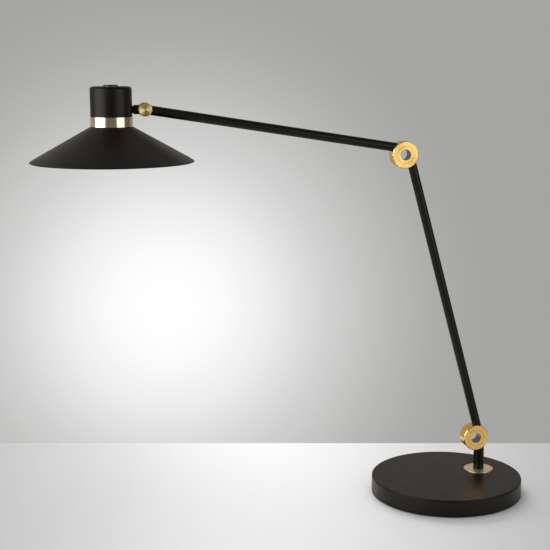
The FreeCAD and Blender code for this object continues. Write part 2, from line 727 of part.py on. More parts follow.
knob_half("head_knuckle_back", AT_WRIST_ARM, True)
knob_half("head_knuckle_front", AT_WRIST_HEAD, False)
tube_of("head_friction_washer", AT_WRIST_HEAD, "dim.knob_bore + dim.run_fit",
        "dim.knob_hub - dim.press_gap", SEAM, SEAM + " + dim.friction_washer_thick",
        role="XY_Plane")
HEAD_SEAT = "(%s - dim.screw_seat_depth + dim.run_fit)" % KNOB_HALF
turned("head_pivot_screw", AT_WRIST, (
    ("0", SEAM + " - dim.pivot_thread_depth + 0.5"),
    ("dim.knob_bore", SEAM + " - dim.pivot_thread_depth + 0.5"),
    ("dim.knob_bore", HEAD_SEAT),
    ("dim.screw_seat_radius - dim.moving_gap", HEAD_SEAT),
    ("dim.screw_seat_radius - dim.moving_gap", HEAD_SEAT + " + dim.pivot_head_height"),
    ("0", HEAD_SEAT + " + dim.pivot_head_height"),
), role="XY_Plane")

# ---------------------------------------------------------------- link to the cap
# turned on the X axis: a socket for the knuckle's spigot, a chamfered neck and a stub into the cap
CAP_FACE = "(-dim.link_reach)"
NECK = "(%s + dim.link_neck_length)" % CAP_FACE
LINK_FLOOR = "-(dim.knob_radius + dim.knob_spigot_length + dim.press_gap)"
link = turned("head_link", AT_WRIST, (
    ("-dim.knob_spigot_start + 1", SOCKET),
    ("-dim.knob_spigot_start + 1", "dim.link_radius"),
    (NECK + " + dim.link_chamfer", "dim.link_radius"),
    (NECK, "dim.link_neck"),
    (CAP_FACE + " + dim.run_fit", "dim.link_neck"),
    (CAP_FACE + " + dim.run_fit", "dim.link_stub"),
    (CAP_FACE + " - dim.link_stub_length", "dim.link_stub"),
    (CAP_FACE + " - dim.link_stub_length", "dim.lead_bore"),
    (LINK_FLOOR, "dim.lead_bore"),
    (LINK_FLOOR, SOCKET),
), axis="H_Axis")
saddle(link, "0", "0", +1, "dim.knob_radius")

hex_nut("link_nut", AT_WRIST + " * " + place(CAP_FACE + " - dim.cap_wall", "0", "0",
                                           "0; 1; 0", "-90"),
        "dim.link_nut_corner", "dim.link_stub + dim.press_gap", "dim.link_nut_height",
        "dim.link_nut_gap")

# ---------------------------------------------------------------- cap, band and shade
CAP_IN = "(dim.cap_radius - dim.cap_wall)"
ROOF = "(dim.cap_top - dim.cap_roof)"
SWITCH_NECK = "(dim.button_radius + 2 * dim.run_fit + dim.switch_neck_wall)"
cap = turned("head_cap", AT_HEAD, (
    (SWITCH_NECK + " + dim.press_gap", ROOF),
    (CAP_IN, ROOF),
    (CAP_IN, "dim.cap_bottom"),
    ("dim.cap_radius", "dim.cap_bottom"),
    ("dim.cap_radius", "dim.cap_top"),
    (SWITCH_NECK + " + dim.press_gap", "dim.cap_top"),
))
round_edges(cap, "Fillet", "dim.cap_round", "dim.cap_radius", "dim.cap_top")
round_edges(cap, "Fillet", "dim.cap_round - dim.cap_wall", CAP_IN, ROOF)
extrude(cap, "Pocket", circle(new_sketch(cap, "YZ_Plane", "dim.cap_radius + 1"), "0", "0",
                              "dim.link_stub + dim.press_gap"),
        "dim.cap_wall + 3")

BAND_OUT = "(dim.cap_radius + dim.band_proud)"
BAND_IN = "(dim.cap_radius - dim.band_wall)"
BAND_LOW = "(dim.cap_bottom - dim.band_height)"
HOLDER_FLANGE = "(%s - dim.holder_gap)" % BAND_IN
HOLDER_SKIRT = "(%s - dim.holder_seat)" % HOLDER_FLANGE
HOLDER_BODY = "(%s - dim.holder_step)" % HOLDER_FLANGE
HOLDER_HOLE = "(%s + dim.press_gap)" % HOLDER_SKIRT
turned("shade_band", AT_HEAD, (
    (HOLDER_HOLE, BAND_LOW),
    (BAND_OUT, BAND_LOW),
    (BAND_OUT, "dim.cap_bottom"),
    (CAP_IN + " - dim.press_gap", "dim.cap_bottom"),
    (CAP_IN + " - dim.press_gap", "dim.cap_bottom + dim.band_spigot"),
    (BAND_IN, "dim.cap_bottom + dim.band_spigot"),
    (BAND_IN, BAND_LOW + " + dim.band_lip"),
    (HOLDER_HOLE, BAND_LOW + " + dim.band_lip"),
))

# shade: spun sheet, a flat neck flange under the band, a straight cone and a small hem at the rim
SHADE_NECK = "(%s - dim.shade_step)" % BAND_OUT
RIM_LOW = "(%s - dim.shade_drop)" % BAND_LOW
SLOPE = "((dim.shade_rim - %s) / dim.shade_drop)" % SHADE_NECK
SHEET_DROP = "(dim.shade_sheet * sqrt(1 + 1 / %s ^ 2))" % SLOPE
turned("shade", AT_HEAD, (
    (HOLDER_HOLE, BAND_LOW),
    (SHADE_NECK, BAND_LOW),
    ("dim.shade_rim", RIM_LOW),
    ("dim.shade_rim", RIM_LOW + " - 2 * dim.shade_bead"),
    ("dim.shade_rim - 2 * dim.shade_bead", RIM_LOW + " - 2 * dim.shade_bead"),
    ("dim.shade_rim - 2 * dim.shade_bead",
     RIM_LOW + " + 2 * dim.shade_bead / %s - %s" % (SLOPE, SHEET_DROP)),
    ("%s - (%s - dim.shade_sheet) * %s" % (SHADE_NECK, SHEET_DROP, SLOPE),
     BAND_LOW + " - dim.shade_sheet"),
    (HOLDER_HOLE, BAND_LOW + " - dim.shade_sheet"),
))

turned("lampholder", AT_HEAD, (
    ("dim.holder_bore", "dim.holder_mouth"),
    (HOLDER_SKIRT, "dim.holder_mouth"),
    (HOLDER_SKIRT, BAND_LOW + " + dim.band_lip"),
    (HOLDER_FLANGE, BAND_LOW + " + dim.band_lip"),
    (HOLDER_FLANGE, BAND_LOW + " + dim.band_lip + dim.holder_flange_thick"),
    (HOLDER_BODY, BAND_LOW + " + dim.band_lip + dim.holder_flange_thick"),
    (HOLDER_BODY, "dim.holder_crown - 5"),
    (HOLDER_BODY + " - 5", "dim.holder_crown"),
    ("dim.lead_bore", "dim.holder_crown"),
    ("dim.lead_bore", "dim.holder_contact"),
    ("dim.holder_bore", "dim.holder_contact"),
))

tube_of("shade_ring", AT_HEAD, HOLDER_HOLE, HOLDER_SKIRT + " + dim.ring_nut_wall",
        BAND_LOW + " - dim.shade_sheet - dim.ring_nut_height", BAND_LOW + " - dim.shade_sheet")

turned("bulb_cap", AT_HEAD, (
    ("0", "dim.bulb_cap_tip"),
    ("0", "dim.bulb_cap_end"),
    ("dim.bulb_cap_radius", "dim.bulb_cap_end"),
    ("dim.bulb_cap_radius", "dim.bulb_cap_shoulder"),
    ("dim.bulb_cap_radius - 7", "dim.bulb_cap_tip - 1.4"),
    ("dim.bulb_cap_radius - 8.5", "dim.bulb_cap_tip"),
))

# bulb: a ball that runs into a short conical neck
globe = new_body("bulb_globe", AT_HEAD)
shape = new_sketch(globe, "XZ_Plane")
middle = number(shape, "dim.bulb_centre")
size = number(shape, "dim.bulb_radius")
mouth = number(shape, "dim.bulb_cap_end")
neck = number(shape, "dim.bulb_neck")
waist = FreeCAD.Vector(size * 0.82, middle + size * 0.5723, 0)
top = FreeCAD.Vector(0, mouth, 0)
lip = FreeCAD.Vector(neck, mouth, 0)
low = FreeCAD.Vector(0, middle - size, 0)
ball = Part.ArcOfCircle(Part.Circle(FreeCAD.Vector(0, middle, 0), FreeCAD.Vector(0, 0, 1), size),
                        -1.5707963, 0.6094)
arc = shape.addGeometry(ball, False)
flank = shape.addGeometry(Part.LineSegment(waist, lip), False)
lid = shape.addGeometry(Part.LineSegment(lip, top), False)
spine = shape.addGeometry(Part.LineSegment(top, low), False)
shape.addConstraint(Sketcher.Constraint("Coincident", arc, 2, flank, 1))
shape.addConstraint(Sketcher.Constraint("Coincident", flank, 2, lid, 1))
shape.addConstraint(Sketcher.Constraint("Coincident", lid, 2, spine, 1))
shape.addConstraint(Sketcher.Constraint("Coincident", spine, 2, arc, 1))
shape.addConstraint(Sketcher.Constraint("PointOnObject", arc, 3, -2))
shape.addConstraint(Sketcher.Constraint("PointOnObject", spine, 1, -2))
shape.addConstraint(Sketcher.Constraint("PointOnObject", spine, 2, -2))
shape.addConstraint(Sketcher.Constraint("Horizontal", lid))
bind(shape, "Radius", "dim.bulb_radius", arc)
bind(shape, "DistanceY", "dim.bulb_centre", arc, 3)
bind(shape, "DistanceX", "dim.bulb_neck", lid, 1)
bind(shape, "DistanceY", "dim.bulb_cap_end", lid, 1)
bind(shape, "DistanceX", "dim.bulb_radius * 0.82", arc, 2)
turn(globe, "Revolution", shape)

# ---------------------------------------------------------------- push switch in the cap's roof
WELL = "(dim.button_radius + 2 * dim.run_fit)"
turned("switch_body", AT_HEAD, (
    ("0", "dim.switch_floor"),
    ("dim.switch_body_radius", "dim.switch_floor"),
    ("dim.switch_body_radius", "dim.switch_shoulder"),
    (SWITCH_NECK, "dim.switch_shoulder"),
    (SWITCH_NECK, "dim.cap_top"),
    (WELL, "dim.cap_top"),
    (WELL, "dim.switch_well"),
    ("0", "dim.switch_well"),
))
tube_of("switch_nut", AT_HEAD, SWITCH_NECK + " + dim.press_gap", "dim.switch_nut_radius",
        ROOF + " - dim.switch_nut_height", ROOF)
BUTTON_TOP = "(dim.cap_top + dim.button_proud)"
button = turned("switch_button", AT_HEAD, (
    ("0", BUTTON_TOP),
    ("0", BUTTON_TOP + " - dim.button_skin"),
    ("dim.button_radius - dim.button_skin", BUTTON_TOP + " - dim.button_skin"),
    ("dim.button_radius - dim.button_skin", BUTTON_TOP + " - dim.button_height"),
    ("dim.button_radius", BUTTON_TOP + " - dim.button_height"),
    ("dim.button_radius", BUTTON_TOP),
))
round_edges(button, "Fillet", "dim.button_round", "dim.button_radius", BUTTON_TOP)

# ---------------------------------------------------------------- check and write
doc.recompute()
for item in doc.Objects:
    if "Invalid" in item.State or "Error" in item.State:
        raise RuntimeError("%s did not build: %s" % (item.Label, item.State))
for node in nodes:
    solid = node.Shape
    if solid.isNull() or not solid.isValid() or len(solid.Solids) != 1:
        raise RuntimeError("%s is not one valid solid" % node.Label)
os.makedirs("parts", exist_ok=True)
for node in nodes:
    node.Shape.exportStep("parts/%s.step" % node.Label)
total = sum(node.Shape.Volume for node in nodes)
print("%d nodes, %.0f mm3" % (len(nodes), total))
for node in nodes:
    box = node.Shape.BoundBox
    print("%-24s vol %10.1f  x %8.2f %8.2f  y %8.2f %8.2f  z %8.2f %8.2f"
          % (node.Label, node.Shape.Volume, box.XMin, box.XMax, box.YMin, box.YMax, box.ZMin, box.ZMax))
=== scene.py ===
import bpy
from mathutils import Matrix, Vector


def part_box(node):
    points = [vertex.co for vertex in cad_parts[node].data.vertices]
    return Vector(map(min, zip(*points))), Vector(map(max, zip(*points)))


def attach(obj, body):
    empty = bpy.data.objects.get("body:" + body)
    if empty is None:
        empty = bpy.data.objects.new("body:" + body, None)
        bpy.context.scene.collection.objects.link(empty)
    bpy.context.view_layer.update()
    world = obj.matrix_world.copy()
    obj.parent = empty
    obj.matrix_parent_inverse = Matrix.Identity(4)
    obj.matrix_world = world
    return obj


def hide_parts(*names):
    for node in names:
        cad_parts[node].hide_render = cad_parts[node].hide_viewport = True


bl_info = {
    "name": "Ring-knuckle desk lamp",
    "version": (1, 0, 0),
    "blender": (4, 5, 0),
    "location": "3D View > Sidebar > Desk Lamp",
    "description": "Dresses the packed desk lamp in brass, steel and paint, and lays its table",
    "category": "Add Mesh",
}

import math

import bmesh
import bpy
from bpy.props import FloatProperty, FloatVectorProperty, IntProperty, PointerProperty
from mathutils import Matrix, Vector

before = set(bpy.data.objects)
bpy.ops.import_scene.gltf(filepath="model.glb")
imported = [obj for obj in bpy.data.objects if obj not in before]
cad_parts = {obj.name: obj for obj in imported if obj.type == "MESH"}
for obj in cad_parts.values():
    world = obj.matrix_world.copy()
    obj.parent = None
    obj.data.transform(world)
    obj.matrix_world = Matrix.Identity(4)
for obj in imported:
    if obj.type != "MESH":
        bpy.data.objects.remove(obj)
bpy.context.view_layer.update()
MM = 0.001


def middle(node):
    """The centre of a CAD node's box."""
    low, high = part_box(node)
    return (low + high) / 2


def reach(node):
    """Half the width of a CAD node along X."""
    low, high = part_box(node)
    return (high.x - low.x) / 2


KNEE = middle("lower_pivot_sleeve")
ELBOW = middle("upper_pivot_sleeve")
WRIST = middle("head_friction_washer")
SWIVEL = middle("swivel_bush")
HEAD = middle("head_cap")
HEAD_AXIS = Matrix.Translation(Vector((HEAD.x, HEAD.y, 0)))
CROSSWISE = Vector((0, 1, 0))
UPRIGHT = Vector((0, 0, 1))

# the photograph's side in pixels, the camera's sensor in mm, and how far the picture's middle
# lies from the camera's axis
PHOTO_SIDE = 550
SENSOR = 36
SHIFT_RIGHT_PX = -30
SHIFT_UP_PX = 0.1

# the table: its far edge ahead of the camera's foot, its half width and its depth from there
TABLE_FAR = 1.9688
TABLE_HALF_WIDTH = 3.5
TABLE_DEPTH = 4.5
# the table's painted pool of light is palest at its middle, which lies this far left of straight
# ahead, and a step towards the camera counts as this share of a step sideways
PAINTED_LIGHT_POOL_LEFT = 0.065
NEARNESS_SHARE = 0.15
# distance from the middle of the painted pool of light, and the share of the table's colour there
TABLE_PAINTED_LIGHT_FALL = ((0.0, 1.0), (0.05, 0.985), (0.10, 0.95), (0.15, 0.90), (0.20, 0.83), (0.27, 0.75),
              (0.35, 0.67), (0.42, 0.60), (0.50, 0.55), (0.65, 0.50))

# the backdrop's glow: how far left of and below the camera's axis its middle lies
GLOW_LEFT_PX = 137
GLOW_BELOW_PX = 31
# angle from its middle in radians, and the share of the glow there
GLOW_FALL = ((0.0, 1.0), (0.02, 0.99), (0.054, 0.888), (0.0885, 0.70), (0.1085, 0.56),
             (0.126, 0.44), (0.148, 0.33), (0.174, 0.205), (0.205, 0.09), (0.24, 0.02),
             (0.29, 0.0))

# what reflections see behind the camera and ahead of it, and the even light on the table
ROOM_DARK = (0.105, 0.10, 0.098, 1)
ROOM_PALE = (0.42, 0.385, 0.355, 1)
EVEN_LIGHT = (0.42, 0.42, 0.42, 1)
# the pale side's middle, left of and above the camera's axis, and the cosine where it is palest
PALE_LEFT = 0.35
PALE_ABOVE = 0.3
PALE_AT = 0.9

# softboxes: name, spot, the point it faces, width, height, watts, and its use: one that lights
# the table doesn't show in reflections, and one for reflections lights nothing
LAMP_MIDDLE = (-0.15, 0.0, 0.3)
SOFTBOXES = (
    ("top_softbox", (-0.2, 0.3, 2.3), (-0.1, 0.1, 0.0), 2.6, 1.8, 24, "light"),
    ("back_softbox", (-0.25, 1.95, 1.6), (0.1, 0.0, 0.0), 1.8, 1.0, 27, "light"),
    ("left_softbox", (-2.07, -0.55, 0.9), LAMP_MIDDLE, 2.1, 1.6, 34, "reflection"),
    ("right_softbox", (1.28, -1.68, 0.9), LAMP_MIDDLE, 2.0, 1.6, 18, "reflection"),
)


# ---------------------------------------------------------------- settings
class LampShadeSettings(bpy.types.PropertyGroup):
    """Sizes of the spun shade."""

    sheet: FloatProperty(
        name="Sheet", description="Thickness of the spun sheet",
        default=0.8 * MM, min=0.3 * MM, max=2 * MM, unit="LENGTH", precision=4)
    hem: FloatProperty(
        name="Hem", description="Radius of the rolled hem at the rim",
        default=0.8 * MM, min=0.4 * MM, max=2 * MM, unit="LENGTH", precision=4)
    collar: FloatProperty(
        name="Collar hole", description="Radius of the hole that the lampholder passes",
        default=19.23 * MM, min=10 * MM, max=25 * MM, unit="LENGTH", precision=4)
    facets: IntProperty(
        name="Facets", description="Facets round the shade's turn",
        default=192, min=48, max=512)


class LampBulbSettings(bpy.types.PropertyGroup):
    """Sizes of the bulb, its screw cap and the lampholder."""

    neck: FloatProperty(
        name="Bulb neck", description="Radius of the bulb where it enters its cap",
        default=13.6 * MM, min=8 * MM, max=20 * MM, unit="LENGTH", precision=4)
    pitch: FloatProperty(
        name="Thread pitch", description="Pitch of the bulb cap's thread",
        default=3.62 * MM, min=1 * MM, max=6 * MM, unit="LENGTH", precision=4)
    skirt: FloatProperty(
        name="Holder skirt", description="Radius of the lampholder's threaded skirt",
        default=19.2 * MM, min=12 * MM, max=25 * MM, unit="LENGTH", precision=4)
    ribs: IntProperty(
        name="Grip ribs", description="Ribs round the shade ring's edge",
        default=40, min=8, max=90)


class LampFinishSettings(bpy.types.PropertyGroup):
    """Colours and gloss of the lamp's finishes."""

    paint: FloatVectorProperty(
        name="Paint", description="Colour of the satin powder coat", subtype="COLOR",
        default=(0.0046, 0.0038, 0.0031), min=0, max=1)
    paint_gloss: FloatProperty(
        name="Paint roughness", description="Roughness of the powder coat", subtype="FACTOR",
        default=0.38, min=0.1, max=1)
    enamel: FloatVectorProperty(
        name="Enamel", description="Colour of the shade's inside", subtype="COLOR",
        default=(0.80, 0.79, 0.76), min=0, max=1)
    # painted light: these brasses are lit and shaded copies of one turned brass, each made
    # lighter, paler or deeper for how the light falls on its piece
    brass: FloatVectorProperty(
        name="Brass", description="Colour of the upper ring's turned brass", subtype="COLOR",
        default=(0.98, 0.64, 0.215), min=0, max=1)
    lower_brass_painted_light: FloatVectorProperty(
        name="Lower brass", description="Colour of the lower ring's turned brass",
        subtype="COLOR", default=(1.0, 0.61, 0.195), min=0, max=1)
    barrel_brass_painted_light: FloatVectorProperty(
        name="Barrel brass", description="Colour of the head's brass barrel", subtype="COLOR",
        default=(1.0, 0.80, 0.31), min=0, max=1)
    brass_gloss: FloatProperty(
        name="Brass roughness", description="Roughness of the turned brass", subtype="FACTOR",
        default=0.30, min=0.05, max=1)
    band_brass_painted_light: FloatVectorProperty(
        name="Pale brass", description="Colour of the band's brass", subtype="COLOR",
        default=(0.90, 0.74, 0.53), min=0, max=1)
    escutcheon_brass_painted_light: FloatVectorProperty(
        name="Plate brass", description="Colour of the escutcheon's brass", subtype="COLOR",
        default=(1.0, 0.79, 0.55), min=0, max=1)
    steel: FloatVectorProperty(
        name="Steel", description="Colour of the turned steel", subtype="COLOR",
        default=(0.17, 0.168, 0.175), min=0, max=1)


class LampStageSettings(bpy.types.PropertyGroup):
    """The table, the backdrop and the camera."""

    # the table's colour at the middle of its painted pool of light
    table: FloatVectorProperty(
        name="Table", description="Colour of the table at its palest", subtype="COLOR",
        default=(0.95, 0.95, 0.95), min=0, max=1)
    backdrop: FloatVectorProperty(
        name="Backdrop", description="Colour of the backdrop far from its glow", subtype="COLOR",
        default=(0.376, 0.376, 0.368), min=0, max=1)
    glow: FloatVectorProperty(
        name="Glow", description="Colour at the middle of the backdrop's glow", subtype="COLOR",
        default=(1.0, 1.0, 1.0), min=0, max=1)
    focal: FloatProperty(
        name="Focal length", description="Focal length of the camera in mm on a 36 mm sensor",
        default=81.20, min=20, max=200)
    tilt: FloatProperty(
        name="Tilt", description="How far the camera looks down", subtype="ANGLE",
        default=math.radians(10.124))
    heading: FloatProperty(
        name="Heading", description="How far the camera is turned from +Y towards +X",
        subtype="ANGLE", default=math.radians(14.112))
    standpoint: FloatVectorProperty(
        name="Standpoint", description="Where the camera stands", subtype="TRANSLATION",
        unit="LENGTH", default=(-0.62587, -1.63936, 0.63354))


# ---------------------------------------------------------------- making meshes
def make_piece(name, mesh, body, materials, sharp=40):
    """A shaded object from mesh data that rides on a body and takes a slot's finish."""
    mesh.polygons.foreach_set("use_smooth", [True] * len(mesh.polygons))
    mesh.set_sharp_from_angle(angle=math.radians(sharp))
    for material in materials:
        mesh.materials.append(material)
    piece = bpy.data.objects.new(name, mesh)
    bpy.context.scene.collection.objects.link(piece)
    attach(piece, body)
    return piece


def loft(name, rings, place, closed=False, groups=None):
    """A mesh through rings of points; the ends are capped unless the rings close on themselves."""
    work = bmesh.new()
    rows = [[work.verts.new(place @ Vector(point)) for point in ring] for ring in rings]
    pairs = list(zip(rows, rows[1:]))
    if closed:
        pairs.append((rows[-1], rows[0]))
    for index, (row, after) in enumerate(pairs):
        count = len(row)
        for step in range(count):
            turn = (step + 1) % count
            face = work.faces.new((row[step], row[turn], after[turn], after[step]))
            if groups:
                face.material_index = groups[index]
    if not closed:
        work.faces.new(reversed(rows[0]))
        work.faces.new(rows[-1])
    bmesh.ops.recalc_face_normals(work, faces=work.faces)
    mesh = bpy.data.meshes.new(name)
    work.to_mesh(mesh)
    work.free()
    return mesh


def circle_ring(radius, height, count, wave=None):
    """Points of one ring about Z; wave may change the radius and height by the angle."""
    ring = []
    for step in range(count):
        angle = 2 * math.pi * step / count
        out, up = wave(angle, radius, height) if wave else (radius, height)
        ring.append((out * math.cos(angle), out * math.sin(angle), up))
    return ring


def lathe(name, profile, place, count=96, closed=True, groups=None, wave=None):
    """A turned mesh from (radius, height) points about Z."""
    rings = [circle_ring(radius, height, count, wave) for radius, height in profile]
    return loft(name, rings, place, closed, groups)


def thread_wave(crest, pitch, depth):
    """A wave for lathe that cuts a thread into the wall whose radius is the crest's."""
    def wave(angle, out, up):
        if abs(out - crest) > 0.01 * MM:
            return out, up
        swell = 0.5 + 0.5 * math.cos(2 * math.pi * (up / pitch) - angle)
        return out - depth * (1 - swell), up
    return wave


def arc_points(centre, radius, start, end, steps):
    """Points of an arc in the profile plane, angles in degrees."""
    points = []
    for step in range(steps + 1):
        angle = math.radians(start + (end - start) * step / steps)
        points.append((centre[0] + radius * math.cos(angle), centre[1] + radius * math.sin(angle)))
    return points


# ---------------------------------------------------------------- finishes
class Finish:
    """A node material with its shader, and short ways to wire it."""

    def __init__(self, name, colour, roughness, metallic=0.0):
        self.material = bpy.data.materials.new(name)
        self.material.use_nodes = True
        self.material.diffuse_color = (*colour, 1)
        self.tree = self.material.node_tree
        self.shader = self.tree.nodes["Principled BSDF"]
        self.set("Base Color", (*colour, 1))
        self.set("Roughness", roughness)
        self.set("Metallic", metallic)
        self.spot = self.add("ShaderNodeTexCoord").outputs["Object"]

    def set(self, socket, value):
        self.shader.inputs[socket].default_value = value

    def add(self, kind, **values):
        node = self.tree.nodes.new(kind)
        for key, value in values.items():
            setattr(node, key, value)
        return node

    def join(self, source, target):
        self.tree.links.new(source, target)

    def noise(self, scale, detail=3.0, stretch=None, roughness=0.5):
        """Noise over the piece, with its scale in features per metre."""
        node = self.add("ShaderNodeTexNoise")
        node.inputs["Scale"].default_value = scale
        node.inputs["Detail"].default_value = detail
        node.inputs["Roughness"].default_value = roughness
        source = self.spot
        if stretch:
            scaler = self.add("ShaderNodeMapping")
            scaler.inputs["Scale"].default_value = stretch
            self.join(self.spot, scaler.inputs["Vector"])
            source = scaler.outputs["Vector"]
        self.join(source, node.inputs["Vector"])
        return node.outputs["Fac"]

    def grooves(self, centre, axis, scale, detail=2.0):
        """Noise that is the same all along each turning line about an axis: lathe marks."""
        offset = self.add("ShaderNodeVectorMath", operation="SUBTRACT")
        offset.inputs[1].default_value = centre
        self.join(self.spot, offset.inputs[0])
        across = self.add("ShaderNodeVectorMath", operation="CROSS_PRODUCT")
        across.inputs[1].default_value = axis
        self.join(offset.outputs["Vector"], across.inputs[0])
        radius = self.add("ShaderNodeVectorMath", operation="LENGTH")
        self.join(across.outputs["Vector"], radius.inputs[0])
        along = self.add("ShaderNodeVectorMath", operation="DOT_PRODUCT")
        along.inputs[1].default_value = axis
        self.join(offset.outputs["Vector"], along.inputs[0])
        both = self.add("ShaderNodeMath", operation="ADD")
        self.join(radius.outputs["Value"], both.inputs[0])
        self.join(along.outputs["Value"], both.inputs[1])
        lines = self.add("ShaderNodeTexNoise", noise_dimensions="1D")
        lines.inputs["Scale"].default_value = scale
        lines.inputs["Detail"].default_value = detail
        self.join(both.outputs["Value"], lines.inputs["W"])
        self.turning = across.outputs["Vector"]
        return lines.outputs["Fac"]

    def follow_turning(self, strength):
        """Stretches highlights across the lathe marks."""
        world = self.add("ShaderNodeVectorTransform", vector_type="VECTOR",
                         convert_from="OBJECT", convert_to="WORLD")
        self.join(self.turning, world.inputs["Vector"])
        self.join(world.outputs["Vector"], self.shader.inputs["Tangent"])
        self.set("Anisotropic", strength)
        self.set("Anisotropic Rotation", 0.25)

    def spread(self, source, low, high, socket, start=0.3, end=0.7):
        """Sends a pattern to a socket, spread between two values."""
        ranged = self.add("ShaderNodeMapRange")
        ranged.inputs["From Min"].default_value = start
        ranged.inputs["From Max"].default_value = end
        ranged.inputs["To Min"].default_value = low
        ranged.inputs["To Max"].default_value = high
        self.join(source, ranged.inputs["Value"])
        self.join(ranged.outputs["Result"], self.shader.inputs[socket])

    def tint(self, source, low, high, start=0.3, end=0.7):
        """Colours the piece between two colours by a pattern."""
        ramp = self.add("ShaderNodeValToRGB")
        ramp.color_ramp.elements[0].position = start
        ramp.color_ramp.elements[0].color = (*low, 1)
        ramp.color_ramp.elements[1].position = end
        ramp.color_ramp.elements[1].color = (*high, 1)
        self.join(source, ramp.inputs["Fac"])
        self.join(ramp.outputs["Color"], self.shader.inputs["Base Color"])

    def relief(self, patterns, edge=0.0):
        """Bumps from (pattern, strength, depth) rows, on edges softened by a small radius."""
        normal = None
        if edge:
            soft = self.add("ShaderNodeBevel")
            soft.samples = 6
            soft.inputs["Radius"].default_value = edge
            normal = soft.outputs["Normal"]
        for pattern, strength, depth in patterns:
            bump = self.add("ShaderNodeBump")
            bump.inputs["Strength"].default_value = strength
            bump.inputs["Distance"].default_value = depth
            self.join(pattern, bump.inputs["Height"])
            if normal:
                self.join(normal, bump.inputs["Normal"])
            normal = bump.outputs["Normal"]
        if normal:
            self.join(normal, self.shader.inputs["Normal"])


def shade_of(colour, factor):
    """A colour made lighter or darker."""
    return tuple(min(1, part * factor) for part in colour)


def powder_coat(name, look, edge=0.4 * MM, warmth=0.05):
    """Satin black powder coat: a fine orange peel over a faint sheen, its warmth in the sheen."""
    gloss = look.paint_gloss
    finish = Finish(name, look.paint, gloss)
    finish.set("Specular IOR Level", 0.25)
    finish.set("Specular Tint", (1.0, 1.0 - warmth, 1.0 - 2 * warmth, 1))
    finish.spread(finish.noise(60, 2), gloss - 0.02, gloss + 0.02, "Roughness")
    finish.tint(finish.noise(140, 4), shade_of(look.paint, 0.85), shade_of(look.paint, 1.2))
    peel = finish.noise(900, 2)
    grain = finish.noise(4200, 1)
    finish.relief([(peel, 0.25, 0.04 * MM), (grain, 0.12, 0.02 * MM)], edge=edge)
    return finish.material


def turned_brass(name, colour, roughness, centre, axis, stretch=0.5):
    """Satin brass with the lathe's marks about one axis."""
    finish = Finish(name, colour, roughness, metallic=1.0)
    marks = finish.grooves(centre, axis, 5200, 3)
    finish.follow_turning(stretch)
    finish.spread(marks, roughness - 0.06, roughness + 0.07, "Roughness")
    finish.tint(finish.noise(90, 3), shade_of(colour, 0.93), shade_of(colour, 1.05))
    finish.relief([(marks, 0.16, 0.03 * MM)], edge=0.25 * MM)
    return finish.material


def turned_steel(name, colour, roughness, centre, axis):
    """Machined steel with marks about one axis."""
    finish = Finish(name, colour, roughness, metallic=1.0)
    marks = finish.grooves(centre, axis, 4200, 3)
    finish.follow_turning(0.4)
    finish.spread(marks, roughness - 0.05, roughness + 0.08, "Roughness")
    finish.relief([(marks, 0.2, 0.04 * MM)], edge=0.15 * MM)
    return finish.material


def plated_steel(name, colour):
    """Zinc plate: faintly mottled grey."""
    finish = Finish(name, colour, 0.38, metallic=1.0)
    mottle = finish.noise(260, 4)
    finish.tint(mottle, shade_of(colour, 0.8), shade_of(colour, 1.15))
    finish.spread(mottle, 0.32, 0.48, "Roughness")
    finish.relief([(finish.noise(1400, 2), 0.15, 0.03 * MM)], edge=0.2 * MM)
    return finish.material


def nickel_plate(name):
    """Bright nickel plate with a faint mottle."""
    finish = Finish(name, (0.66, 0.64, 0.60), 0.25, metallic=1.0)
    mottle = finish.noise(300, 3)
    finish.spread(mottle, 0.2, 0.34, "Roughness")
    finish.tint(mottle, (0.58, 0.56, 0.52), (0.72, 0.70, 0.66))
    return finish.material


def casting(name):
    """Rough cast iron."""
    finish = Finish(name, (0.06, 0.058, 0.055), 0.8, metallic=0.3)
    grain = finish.noise(420, 5, roughness=0.65)
    finish.tint(grain, (0.035, 0.034, 0.032), (0.10, 0.095, 0.088))
    finish.relief([(grain, 0.7, 0.3 * MM)])
    return finish.material


def soft_rubber(name, colour, pore):
    """Matt rubber or foam, with its pores per metre."""
    finish = Finish(name, colour, 0.85)
    pores = finish.noise(pore, 4, roughness=0.7)
    finish.tint(pores, shade_of(colour, 0.6), shade_of(colour, 1.5))
    finish.relief([(pores, 0.5, 0.2 * MM)])
    return finish.material


def moulded(name, colour, roughness):
    """Moulded plastic or resin with a faint flow and spark-eroded grain."""
    finish = Finish(name, colour, roughness)
    flow = finish.noise(110, 3, stretch=(1, 1, 0.35))
    finish.tint(flow, shade_of(colour, 0.8), shade_of(colour, 1.25))
    finish.spread(flow, roughness - 0.05, roughness + 0.06, "Roughness")
    finish.relief([(finish.noise(2600, 2), 0.18, 0.03 * MM)], edge=0.2 * MM)
    return finish.material


def pressed_fibre(name):
    """Vulcanised fibre: reddish brown with short flecks."""
    finish = Finish(name, (0.22, 0.09, 0.04), 0.7)
    flecks = finish.noise(1500, 4, stretch=(1, 0.3, 1))
    finish.tint(flecks, (0.15, 0.055, 0.025), (0.32, 0.15, 0.07))
    finish.relief([(flecks, 0.3, 0.05 * MM)])
    return finish.material


def opal(name):
    """Opal white bulb: a milky body under a smooth face."""
    finish = Finish(name, (0.88, 0.87, 0.83), 0.22)
    cloud = finish.noise(45, 2)
    finish.tint(cloud, (0.85, 0.84, 0.80), (0.90, 0.89, 0.86))
    finish.spread(cloud, 0.18, 0.27, "Roughness")
    finish.set("Subsurface Weight", 0.25)
    finish.set("Subsurface Radius", (4 * MM, 4 * MM, 3.5 * MM))
    finish.set("Subsurface Scale", 1.0)
    return finish.material


